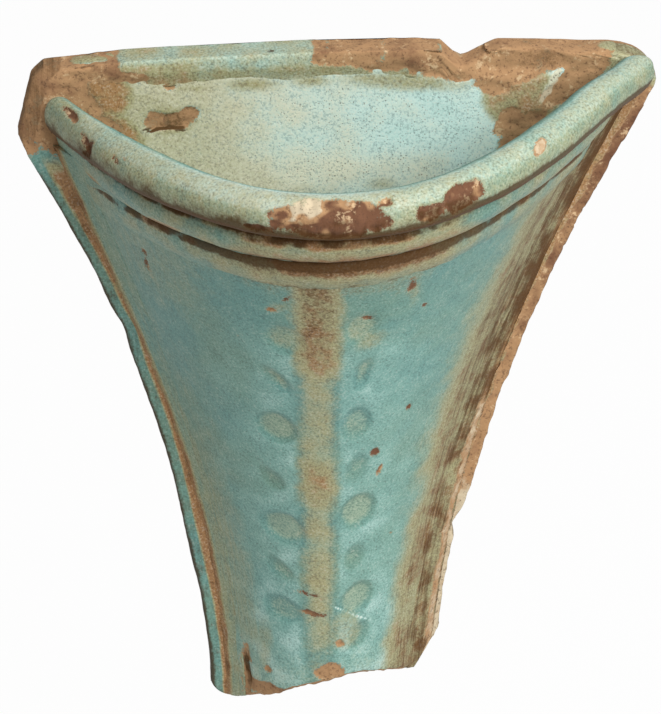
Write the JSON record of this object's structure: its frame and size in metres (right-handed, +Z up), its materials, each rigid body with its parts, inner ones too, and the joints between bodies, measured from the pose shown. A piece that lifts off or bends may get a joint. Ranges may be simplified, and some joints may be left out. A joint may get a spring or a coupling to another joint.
{
  "type": "wall vase",
  "caption": "Hand-built faience wall pocket: a bowed, flaring front on a flat back slab, with a rolled rim, cordons and a pressed leaf branch, open at the top.",
  "frame": {"origin": "on the slab's back face, on its middle line, at the level of the mouth", "axes": "+Z up, from the broken lower end to the mouth; +Y back into the wall; +X to the right seen from the front"},
  "size_m": [0.1565, 0.0777, 0.2028],
  "materials": {
    "turquoise_glaze": "weathered semi-matt alkaline glaze",
    "worn_glaze": "worn and stained glaze",
    "bare_clay": "rough bare clay"
  },
  "bodies": {
    "root": {"back_slab": "turquoise_glaze", "front_wall": "turquoise_glaze", "rim_roll": "worn_glaze", "rim_cordon": "turquoise_glaze", "lower_band": "turquoise_glaze", "back_lip": "worn_glaze", "left_seam_fillet": "worn_glaze", "right_seam_fillet": "worn_glaze", "left_inner_coil": "turquoise_glaze", "right_inner_coil": "turquoise_glaze", "floor_plug": "bare_clay"}
  },
  "joints": []
}
